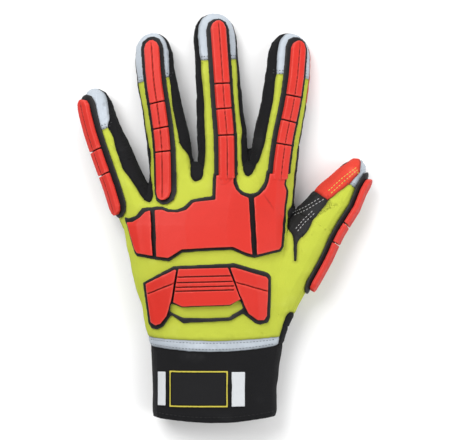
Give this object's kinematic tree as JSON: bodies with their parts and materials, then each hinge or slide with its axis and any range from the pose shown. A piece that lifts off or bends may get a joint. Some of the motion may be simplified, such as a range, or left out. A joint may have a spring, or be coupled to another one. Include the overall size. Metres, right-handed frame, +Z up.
{
  "type": "impact glove",
  "caption": "Left-hand work glove with a knit back, reflective fingertips, a leather-like palm, a long cuff and moulded impact guards over knuckles and fingers.",
  "frame": {"origin": "under the middle of the palm, on the surface the glove lies on", "axes": "+Y from the wrist to the fingertips, +X toward the thumb, +Z up out of the back of the hand"},
  "size_m": [0.1776, 0.2471, 0.0389],
  "materials": {
    "knit": "knitted, high visibility yellow",
    "reflective": "silver retroreflective cloth",
    "side_fabric": "matt black woven cloth",
    "palm_leather": "matt black synthetic leather",
    "cuff_knit": "black knitted cloth over foam",
    "guard_red": "satin red moulded rubber",
    "guard_black": "satin black moulded rubber",
    "patch_red": "red synthetic leather",
    "label_black": "black woven label",
    "label_yellow": "yellow woven edging",
    "label_white": "white woven tape"
  },
  "bodies": {
    "root": {"cuff": "cuff_knit", "side_gusset": "side_fabric", "reflective_band": "reflective", "fourchette_pinky_ring": "side_fabric", "fourchette_ring_middle": "side_fabric", "fourchette_middle_index": "side_fabric", "palm_panel": "palm_leather", "back_panel": "knit", "tip_pinky": "reflective", "tip_ring": "reflective", "tip_middle": "reflective", "tip_index": "reflective", "tip_thumb": "reflective", "index_patch": "patch_red", "thumb_patch": "patch_red", "front_pinky": "palm_leather", "front_ring": "palm_leather", "front_middle": "palm_leather", "front_index": "palm_leather", "front_thumb": "palm_leather", "pinky_guard_base": "guard_black", "pinky_pad_1": "guard_red", "pinky_pad_2": "guard_red", "pinky_pad_3": "guard_red", "ring_guard_base": "guard_black", "ring_pad_1": "guard_red", "ring_pad_2": "guard_red", "ring_pad_3": "guard_red", "ring_pad_4": "guard_red", "thumb_guard_base": "guard_black", "thumb_pad_1": "guard_red", "thumb_pad_2": "guard_red", "thumb_pad_3": "guard_red", "knuckle_guard_base": "guard_black", "knuckle_pad_centre": "guard_red", "middle_pad_1": "guard_red", "middle_pad_2": "guard_red", "middle_pad_3": "guard_red", "knuckle_pad_index_side": "guard_red", "index_pad_1": "guard_red", "index_pad_2": "guard_red", "index_pad_3": "guard_red", "knuckle_pad_pinky_side": "guard_red", "hand_guard_base": "guard_black", "hand_pad_centre": "guard_red", "hand_pad_left": "guard_red", "hand_pad_right": "guard_red", "name_label": "label_black", "label_frame": "label_yellow", "size_tab": "label_white", "write_strip": "label_white"}
  },
  "joints": []
}
